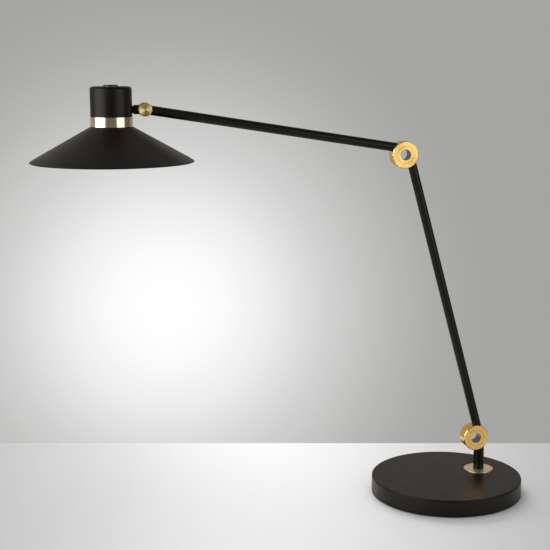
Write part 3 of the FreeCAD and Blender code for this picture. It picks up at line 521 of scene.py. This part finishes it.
def enamel(name, look):
    """Sprayed white inside of the shade."""
    finish = Finish(name, look.enamel, 0.5)
    peel = finish.noise(700, 3)
    finish.tint(finish.noise(80, 3), shade_of(look.enamel, 0.95), shade_of(look.enamel, 1.03))
    finish.spread(peel, 0.44, 0.56, "Roughness")
    finish.relief([(peel, 0.22, 0.04 * MM)])
    return finish.material


def dress(nodes, material):
    """Gives CAD nodes one finish."""
    for node in nodes:
        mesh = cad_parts[node].data
        mesh.materials.clear()
        mesh.materials.append(material)


# ---------------------------------------------------------------- operators
class LAMP_OT_paint(bpy.types.Operator):
    """Coats the base cover, stem, arms, link and cap with satin black powder."""

    bl_idname = "lamp.paint"
    bl_label = "Paint"

    def execute(self, context):
        look = context.scene.lamp_finish
        coat = powder_coat("satin_black_coat", look)
        dress(("stem_spindle", "lower_arm_tube", "upper_arm_tube", "head_link", "head_cap"), coat)
        dress(("base_cover",), powder_coat("base_black_coat", look, 2 * MM, 0.12))
        return {"FINISHED"}


class LAMP_OT_brass(bpy.types.Operator):
    """Finishes each brass piece with lathe marks about its own axis, in a lit or shaded copy of
    one brass colour that paints how the light falls on it.
    """

    bl_idname = "lamp.brass"
    bl_label = "Brass"

    def execute(self, context):
        look = context.scene.lamp_finish
        gloss = look.brass_gloss
        # each piece takes its own lighter or deeper copy of the brass colour: painted light
        dress(("lower_knuckle_back", "lower_knuckle_front", "lower_ring_nut"),
              turned_brass("brass_lower_ring", look.lower_brass_painted_light, gloss - 0.12, KNEE, CROSSWISE))
        dress(("upper_knuckle_back", "upper_knuckle_front", "upper_ring_nut"),
              turned_brass("brass_upper_ring", look.brass, gloss, ELBOW, CROSSWISE))
        dress(("head_knuckle_back", "head_knuckle_front"),
              turned_brass("brass_head_knuckle", look.barrel_brass_painted_light, 0.36, WRIST, CROSSWISE,
                           stretch=1.0))
        dress(("shade_band",),
              turned_brass("brass_band", look.band_brass_painted_light, 0.19, HEAD, UPRIGHT))
        dress(("escutcheon",),
              turned_brass("brass_escutcheon", look.escutcheon_brass_painted_light, 0.38, SWIVEL, UPRIGHT))
        dress(("swivel_bush",),
              turned_brass("bearing_bronze", (0.50, 0.29, 0.12), 0.4, SWIVEL, UPRIGHT))
        return {"FINISHED"}


class LAMP_OT_steel(bpy.types.Operator):
    """Finishes the pivot sleeves, washers, nuts, screws and pins."""

    bl_idname = "lamp.steel"
    bl_label = "Steel"

    def execute(self, context):
        look = context.scene.lamp_finish
        dress(("lower_pivot_sleeve", "lower_stop_pin"),
              turned_steel("steel_lower_sleeve", look.steel, 0.26, KNEE, CROSSWISE))
        dress(("upper_pivot_sleeve", "upper_stop_pin"),
              turned_steel("steel_upper_sleeve", look.steel, 0.26, ELBOW, CROSSWISE))
        zinc = plated_steel("zinc_plate", (0.52, 0.53, 0.55))
        dress(("base_plate", "base_screw_1", "base_screw_2", "base_screw_3", "swivel_stop",
               "stem_washer", "stem_nut", "link_nut", "switch_nut"), zinc)
        fibre = pressed_fibre("vulcanised_fibre")
        dress(("lower_nut_washer", "upper_nut_washer", "lower_friction_washer",
               "upper_friction_washer", "head_friction_washer"), fibre)
        return {"FINISHED"}


class LAMP_OT_base(bpy.types.Operator):
    """Finishes the ballast, the pad and the leads, and moulds the ribbed outlet grommet."""

    bl_idname = "lamp.base"
    bl_label = "Base fittings"

    def execute(self, context):
        dress(("base_ballast",), casting("cast_iron"))
        dress(("base_pad",), soft_rubber("foam_rubber", (0.022, 0.022, 0.022), 900))
        sheath = moulded("lead_sheath", (0.035, 0.035, 0.035), 0.5)
        dress(("stem_lead", "lower_arm_lead", "upper_arm_lead"), sheath)
        rubber = soft_rubber("black_rubber", (0.016, 0.016, 0.016), 1600)
        spot = middle("cable_grommet")
        out = Vector((spot.x, spot.y, 0)).normalized()
        place = Matrix.Translation(spot) @ out.to_track_quat("Z", "Y").to_matrix().to_4x4()
        half = 3.1 * MM
        bore = 3.1 * MM
        flange = 6.5 * MM
        groove = 4.5 * MM
        corner = 0.6 * MM
        profile = [(bore, -half), (flange - 0.4 * MM, -half), (flange, -half + 0.4 * MM),
                   (flange, -half + 1.2 * MM), (groove, -half + 1.4 * MM),
                   (groove, half - 1.6 * MM), (flange, half - 1.5 * MM)]
        profile += arc_points((flange - corner, half - corner), corner, 0, 90, 4)
        for rib in (5.2 * MM, 4.1 * MM):
            profile += [(rib, half), (rib - 0.3 * MM, half - 0.35 * MM), (rib - 0.6 * MM, half)]
        profile.append((bore + 0.1 * MM, half - 0.1 * MM))
        mesh = lathe("outlet_grommet", profile, place, 48)
        grommet = make_piece("outlet_grommet", mesh, "base", [rubber])
        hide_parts("cable_grommet")
        return {"FINISHED"}


class LAMP_OT_shade(bpy.types.Operator):
    """Spins the shade from thin sheet: collar, cone and hem, black outside and white inside."""

    bl_idname = "lamp.shade"
    bl_label = "Shade"

    def execute(self, context):
        size = context.scene.lamp_shade
        look = context.scene.lamp_finish
        low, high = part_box("shade")
        rim = reach("shade")
        top = high.z
        neck = reach("shade_band") - 0.4 * MM
        foot = low.z + 2 * size.hem
        fall = math.atan2(top - foot, rim - neck)
        drop = size.sheet / math.cos(fall)
        bead = (rim - size.hem, low.z + size.hem)
        # outside: collar, neck turn and cone; then the hem; then the inside back to the collar
        outer = [(size.collar, top), (neck - 0.6 * MM, top)]
        outer += [(neck - 0.2 * MM, top - 0.02 * MM), (neck + 0.3 * MM, top - 0.22 * MM)]
        steps = 14
        for step in range(1, steps):
            part = step / steps
            outer.append((neck + (rim - neck) * part, top + (foot - top) * part))
        hem = arc_points(bead, size.hem, 70, -170, 18)
        inner = []
        inner_rim = rim - 2 * size.hem - 0.4 * MM
        inner_neck = neck - 0.9 * MM
        for step in range(steps + 1):
            part = step / steps
            radius = inner_rim + (inner_neck - inner_rim) * part
            height = top + (foot - top) * (radius - neck) / (rim - neck) - drop
            inner.append((radius, min(height, top - size.sheet)))
        inner.append((size.collar, top - size.sheet))
        profile = outer + hem + inner
        # the white starts inside the hem and ends at the collar's hole
        groups = [0] * (len(outer) + len(hem) - 4) + [1] * (len(inner) + 3) + [0]
        mesh = lathe("spun_shade", profile, HEAD_AXIS, size.facets, True, groups)
        coat = powder_coat("shade_black_coat", look)
        piece = make_piece("spun_shade", mesh, "head",
                           [coat, enamel("shade_white_enamel", look)])
        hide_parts("shade")
        return {"FINISHED"}


class LAMP_OT_bulb(bpy.types.Operator):
    """Makes the opal bulb and its threaded metal cap."""

    bl_idname = "lamp.bulb"
    bl_label = "Bulb"

    def execute(self, context):
        size = context.scene.lamp_bulb
        low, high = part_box("bulb_globe")
        radius = reach("bulb_globe")
        centre = low.z + radius
        ball = arc_points((0, centre), radius, -88, 32, 40)
        waist = ball[-1]
        throat = [(waist[0] + (size.neck - waist[0]) * part ** 0.85,
                   waist[1] + (high.z - waist[1]) * part) for part in (0.2, 0.4, 0.6, 0.8)]
        profile = ball + throat + [(size.neck, high.z), (size.neck - 1 * MM, high.z)]
        globe = make_piece("opal_bulb", lathe("opal_bulb", profile, HEAD_AXIS, 96, False),
                           "head", [opal("opal_glass")])
        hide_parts("bulb_globe")

        low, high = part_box("bulb_cap")
        wide = reach("bulb_cap")
        wall = [(wide, low.z + step * 0.4 * MM) for step in range(1, 47)]
        profile = [(wide - 1 * MM, low.z)] + wall
        crown = high.z
        profile += [(wide - 2 * MM, crown - 4.6 * MM), (wide - 5 * MM, crown - 2 * MM),
                    (5.4 * MM, crown - 1.4 * MM), (4.6 * MM, crown - 0.5 * MM),
                    (3 * MM, crown), (1 * MM, crown)]
        thread = thread_wave(wide, size.pitch, 0.7 * MM)
        mesh = lathe("screw_cap", profile, HEAD_AXIS, 72, False, None, thread)
        cap = make_piece("screw_cap", mesh, "head", [nickel_plate("nickel_plate")])
        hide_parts("bulb_cap")
        return {"FINISHED"}


class LAMP_OT_holder(bpy.types.Operator):
    """Makes the lampholder with its threaded skirt and the ribbed ring that clamps the shade."""

    bl_idname = "lamp.holder"
    bl_label = "Lampholder"

    def execute(self, context):
        size = context.scene.lamp_bulb
        resin = moulded("black_resin", (0.014, 0.014, 0.014), 0.34)
        low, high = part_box("lampholder")
        flange = reach("lampholder")
        skirt = size.skirt
        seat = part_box("shade")[1].z + 1.5 * MM
        shoulder = seat + 1.6 * MM
        chamfer = 0.3 * MM
        body = flange - 7 * MM
        skirt_wall = []
        height = low.z + 0.6 * MM
        while height < seat - 0.3 * MM:
            skirt_wall.append((skirt, height))
            height += 0.25 * MM
        bore = 13.4 * MM
        lead_hole = 2.4 * MM
        floor = WRIST.z - 2 * MM
        profile = [(bore + 0.5 * MM, low.z), (skirt - 0.7 * MM, low.z)] + skirt_wall
        profile += [(skirt - 0.05 * MM, seat), (flange - chamfer, seat), (flange, seat + chamfer),
                    (flange, seat + 1.3 * MM), (flange - chamfer, shoulder), (body, shoulder),
                    (body, high.z - 5 * MM), (body - 5 * MM, high.z), (lead_hole, high.z),
                    (lead_hole, floor), (bore, floor), (bore, low.z + 0.5 * MM)]
        thread = thread_wave(skirt, 2 * MM, 0.5 * MM)
        mesh = lathe("threaded_holder", profile, HEAD_AXIS, 96, True, None, thread)
        holder = make_piece("threaded_holder", mesh, "head", [resin], 35)
        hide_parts("lampholder")

        low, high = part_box("shade_ring")
        wide = reach("shade_ring")
        count = size.ribs

        def ribbed(angle, out, up):
            if out < wide - 0.01 * MM:
                return out, up
            wave = 0.5 + 0.5 * math.cos(count * angle)
            return out - 0.9 * MM * (1 - wave ** 0.6), up

        profile = [(skirt + 0.05 * MM, low.z + 0.4 * MM), (skirt + 0.5 * MM, low.z),
                   (wide - 1.3 * MM, low.z), (wide, low.z + 0.7 * MM), (wide, high.z - 0.5 * MM),
                   (wide - 1.1 * MM, high.z), (skirt + 0.05 * MM, high.z)]
        mesh = lathe("ribbed_shade_ring", profile, HEAD_AXIS, count * 8, True, None, ribbed)
        ring = make_piece("ribbed_shade_ring", mesh, "head", [resin], 50)
        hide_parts("shade_ring")
        dress(("switch_body",), resin)
        return {"FINISHED"}


class LAMP_OT_button(bpy.types.Operator):
    """Moulds the push button with its dished top and fine rings."""

    bl_idname = "lamp.button"
    bl_label = "Push button"

    def execute(self, context):
        low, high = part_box("switch_button")
        wide = reach("switch_button")
        top = high.z
        hollow = wide - 1.7 * MM
        corner = 0.8 * MM
        profile = [(hollow, top - 1.5 * MM), (hollow, low.z), (wide, low.z)]
        profile += arc_points((wide - corner, top - corner), corner, 0, 80, 6)
        profile.append((wide - 1.4 * MM, top))
        # fine ring grooves, each a little lower than the one round it
        for ring in range(4):
            radius = wide - (2.0 + 1.1 * ring) * MM
            level = top - (0.12 + 0.06 * ring) * MM
            groove = level - 0.14 * MM
            profile += [(radius, level), (radius - 0.2 * MM, groove),
                        (radius - 0.5 * MM, groove), (radius - 0.7 * MM, level)]
        profile += [(2.6 * MM, top - 0.36 * MM), (0.6 * MM, top - 0.42 * MM)]
        resin = moulded("button_plastic", (0.03, 0.03, 0.031), 0.38)
        mesh = lathe("dished_button", profile, HEAD_AXIS, 72, False)
        button = make_piece("dished_button", mesh, "button", [resin], 35)
        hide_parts("switch_button")
        return {"FINISHED"}


class LAMP_OT_pivot(bpy.types.Operator):
    """Makes the head pivot's screw with a hexagon socket."""

    bl_idname = "lamp.pivot"
    bl_label = "Pivot screw"

    def execute(self, context):
        low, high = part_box("head_pivot_screw")
        wide = reach("head_pivot_screw")
        count = 48

        def hexagon(across, height):
            ring = []
            for step in range(count):
                angle = 2 * math.pi * step / count
                part = (angle % (math.pi / 3)) - math.pi / 6
                out = across / math.cos(part)
                ring.append((out * math.cos(angle), out * math.sin(angle), height))
            return ring

        length = high.y - low.y
        head = 2.2 * MM
        shank = 2.5 * MM
        rings = [circle_ring(shank - 0.4 * MM, 0, count), circle_ring(shank, 0.4 * MM, count),
                 circle_ring(shank, length - head, count), circle_ring(wide, length - head, count),
                 circle_ring(wide, length - 0.3 * MM, count),
                 circle_ring(wide - 0.3 * MM, length, count),
                 hexagon(1.75 * MM, length), hexagon(1.55 * MM, length - 0.2 * MM),
                 hexagon(1.5 * MM, length - 1.6 * MM)]
        spot = Vector((WRIST.x, low.y, WRIST.z))
        turn = Matrix.Rotation(math.radians(-90), 4, "X")
        mesh = loft("socket_screw", rings, Matrix.Translation(spot) @ turn)
        look = context.scene.lamp_finish
        steel = turned_steel("steel_pivot_screw", look.steel, 0.3, WRIST, CROSSWISE)
        screw = make_piece("socket_screw", mesh, "head", [steel], 30)
        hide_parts("head_pivot_screw")
        return {"FINISHED"}


def soft_lamp(name, spot, target, width, height, power, use):
    """An area lamp at a spot that faces a target, for "light" or for "reflection"."""
    data = bpy.data.lights.new(name, "AREA")
    data.shape = "RECTANGLE"
    data.size = width
    data.size_y = height
    data.energy = power
    lamp = bpy.data.objects.new(name, data)
    lamp.visible_camera = False
    lamp.visible_diffuse = use == "light"
    lamp.visible_glossy = use == "reflection"
    lamp.location = spot
    lamp.rotation_euler = (Vector(target) - Vector(spot)).to_track_quat("-Z", "Y").to_euler()
    bpy.context.scene.collection.objects.link(lamp)


def fill_ramp(ramp, rows, low, high):
    """Sets a smooth ramp between two colours from (position, share of the high one) rows."""
    ramp.interpolation = "CARDINAL"
    for index, (position, share) in enumerate(rows):
        element = ramp.elements[index] if index < 2 else ramp.elements.new(position)
        element.position = position
        element.color = (*(dark + (pale - dark) * share for dark, pale in zip(low, high)), 1)


class LAMP_OT_stage(bpy.types.Operator):
    """Lays the table with its painted pool of light, paints the glowing backdrop and sets the
    lamps and the camera.
    """

    bl_idname = "lamp.stage"
    bl_label = "Stage"

    def execute(self, context):
        scene = context.scene
        stage = scene.lamp_stage
        heading, tilt = stage.heading, stage.tilt
        ahead = Vector((math.sin(heading), math.cos(heading), 0))
        aside = Vector((math.cos(heading), -math.sin(heading), 0))
        eye = Vector(stage.standpoint)
        gaze = ahead * math.cos(tilt) - UPRIGHT * math.sin(tilt)

        data = bpy.data.cameras.new("camera")
        data.sensor_width = SENSOR
        data.lens = stage.focal
        data.shift_x = SHIFT_RIGHT_PX / PHOTO_SIDE
        data.shift_y = SHIFT_UP_PX / PHOTO_SIDE
        camera = bpy.data.objects.new("camera", data)
        camera.location = eye
        camera.rotation_euler = gaze.to_track_quat("-Z", "Y").to_euler()
        scene.collection.objects.link(camera)
        scene.camera = camera

        # table: its far edge lies square to the camera's heading
        foot = Vector((eye.x, eye.y, 0))
        far = foot + ahead * TABLE_FAR
        left, right = far - aside * TABLE_HALF_WIDTH, far + aside * TABLE_HALF_WIDTH
        corners = [left, right, right - ahead * TABLE_DEPTH, left - ahead * TABLE_DEPTH]
        mesh = bpy.data.meshes.new("table_top")
        mesh.from_pydata(corners, [], [(3, 2, 1, 0)])
        table = bpy.data.objects.new("table_top", mesh)
        scene.collection.objects.link(table)
        mesh.materials.append(self.table_top(stage, far - aside * PAINTED_LIGHT_POOL_LEFT, aside, ahead))

        self.backdrop(scene, stage, eye, gaze, aside)

        scene.view_settings.view_transform = "Standard"
        for row in SOFTBOXES:
            soft_lamp(*row)
        return {"FINISHED"}

    def table_top(self, stage, centre, aside, ahead):
        """Pale satin table with a painted pool of light: palest at its middle, darker away from
        it.
        """
        finish = Finish("pale_table_painted_light", stage.table, 0.5)
        finish.set("Specular IOR Level", 0.25)
        offset = finish.add("ShaderNodeVectorMath", operation="SUBTRACT")
        offset.inputs[1].default_value = centre
        finish.join(finish.spot, offset.inputs[0])
        flat = finish.add("ShaderNodeCombineXYZ")
        for socket, way in (("X", aside), ("Y", ahead * NEARNESS_SHARE)):
            part = finish.add("ShaderNodeVectorMath", operation="DOT_PRODUCT")
            part.inputs[1].default_value = way
            finish.join(offset.outputs["Vector"], part.inputs[0])
            finish.join(part.outputs["Value"], flat.inputs[socket])
        away = finish.add("ShaderNodeVectorMath", operation="LENGTH")
        finish.join(flat.outputs["Vector"], away.inputs[0])
        # painted pool of light: the table's colour darkens with the distance from its middle
        ramp = finish.add("ShaderNodeValToRGB")
        fill_ramp(ramp.color_ramp, TABLE_PAINTED_LIGHT_FALL, (0, 0, 0), stage.table)
        finish.join(away.outputs["Value"], ramp.inputs["Fac"])
        finish.join(ramp.outputs["Color"], finish.shader.inputs["Base Color"])
        finish.relief([(finish.noise(500, 2), 0.05, 0.05 * MM)])
        return finish.material

    def backdrop(self, scene, stage, eye, gaze, aside):
        """World with a soft round glow for the camera, a room for reflections and even light."""
        world = bpy.data.worlds.new("backdrop")
        scene.world = world
        world.use_nodes = True
        nodes, links = world.node_tree.nodes, world.node_tree.links
        shader = nodes["Background"]
        above = aside.cross(gaze)
        focal = stage.focal / SENSOR * PHOTO_SIDE
        glow_way = gaze - aside * (GLOW_LEFT_PX / focal) - above * (GLOW_BELOW_PX / focal)
        way = nodes.new("ShaderNodeTexCoord").outputs["Generated"]
        facing = nodes.new("ShaderNodeVectorMath")
        facing.operation = "DOT_PRODUCT"
        facing.inputs[1].default_value = glow_way.normalized()
        links.new(way, facing.inputs[0])
        angle = nodes.new("ShaderNodeMath")
        angle.operation = "ARCCOSINE"
        links.new(facing.outputs["Value"], angle.inputs[0])
        ramp = nodes.new("ShaderNodeValToRGB")
        fill_ramp(ramp.color_ramp, GLOW_FALL, stage.backdrop, stage.glow)
        links.new(angle.outputs[0], ramp.inputs["Fac"])

        # reflections: a dark room behind the camera, the pale backdrop ahead of it
        ahead = nodes.new("ShaderNodeVectorMath")
        ahead.operation = "DOT_PRODUCT"
        pale_way = gaze - aside * PALE_LEFT + above * PALE_ABOVE
        ahead.inputs[1].default_value = pale_way.normalized()
        links.new(way, ahead.inputs[0])
        room = nodes.new("ShaderNodeValToRGB")
        room.color_ramp.elements[0].color = ROOM_DARK
        room.color_ramp.elements[1].position = PALE_AT
        room.color_ramp.elements[1].color = ROOM_PALE
        links.new(ahead.outputs["Value"], room.inputs["Fac"])

        path = nodes.new("ShaderNodeLightPath")
        colour = self.choose(nodes, links, path.outputs["Is Glossy Ray"], EVEN_LIGHT,
                             room.outputs["Color"])
        seen = nodes.new("ShaderNodeMath")
        seen.operation = "MAXIMUM"
        links.new(path.outputs["Is Camera Ray"], seen.inputs[0])
        links.new(path.outputs["Is Transmission Ray"], seen.inputs[1])
        colour = self.choose(nodes, links, seen.outputs[0], colour, ramp.outputs["Color"])
        links.new(colour, shader.inputs["Color"])

    def choose(self, nodes, links, switch, first, second):
        """The second colour where the switch is 1, else the first."""
        mix = nodes.new("ShaderNodeMix")
        mix.data_type = "RGBA"
        # inputs 6 and 7 are the two colours, and output 2 is the colour that comes out
        links.new(switch, mix.inputs[0])
        if isinstance(first, tuple):
            mix.inputs[6].default_value = first
        else:
            links.new(first, mix.inputs[6])
        links.new(second, mix.inputs[7])
        return mix.outputs[2]


class LAMP_PT_sidebar(bpy.types.Panel):
    """Lists the lamp's settings and the steps that make it."""

    bl_label = "Desk Lamp"
    bl_idname = "LAMP_PT_sidebar"
    bl_space_type = "VIEW_3D"
    bl_region_type = "UI"
    bl_category = "Desk Lamp"

    def draw(self, context):
        scene = context.scene
        for group in (scene.lamp_shade, scene.lamp_bulb, scene.lamp_finish, scene.lamp_stage):
            box = self.layout.box()
            for name in group.__annotations__:
                box.prop(group, name)
        column = self.layout.column(align=True)
        for step in STEPS:
            column.operator(step.bl_idname)


STEPS = (LAMP_OT_paint, LAMP_OT_brass, LAMP_OT_steel, LAMP_OT_base, LAMP_OT_shade, LAMP_OT_bulb,
         LAMP_OT_holder, LAMP_OT_button, LAMP_OT_pivot, LAMP_OT_stage)
SETTINGS = {
    "lamp_shade": LampShadeSettings,
    "lamp_bulb": LampBulbSettings,
    "lamp_finish": LampFinishSettings,
    "lamp_stage": LampStageSettings,
}


def register():
    for name, group in SETTINGS.items():
        bpy.utils.register_class(group)
        setattr(bpy.types.Scene, name, PointerProperty(type=group))
    for step in STEPS:
        bpy.utils.register_class(step)
    bpy.utils.register_class(LAMP_PT_sidebar)


def unregister():
    bpy.utils.unregister_class(LAMP_PT_sidebar)
    for step in reversed(STEPS):
        bpy.utils.unregister_class(step)
    for name, group in SETTINGS.items():
        delattr(bpy.types.Scene, name)
        bpy.utils.unregister_class(group)


def main():
    register()
    for step in STEPS:
        family, name = step.bl_idname.split(".")
        getattr(getattr(bpy.ops, family), name)()


if __name__ == "__main__":
    main()
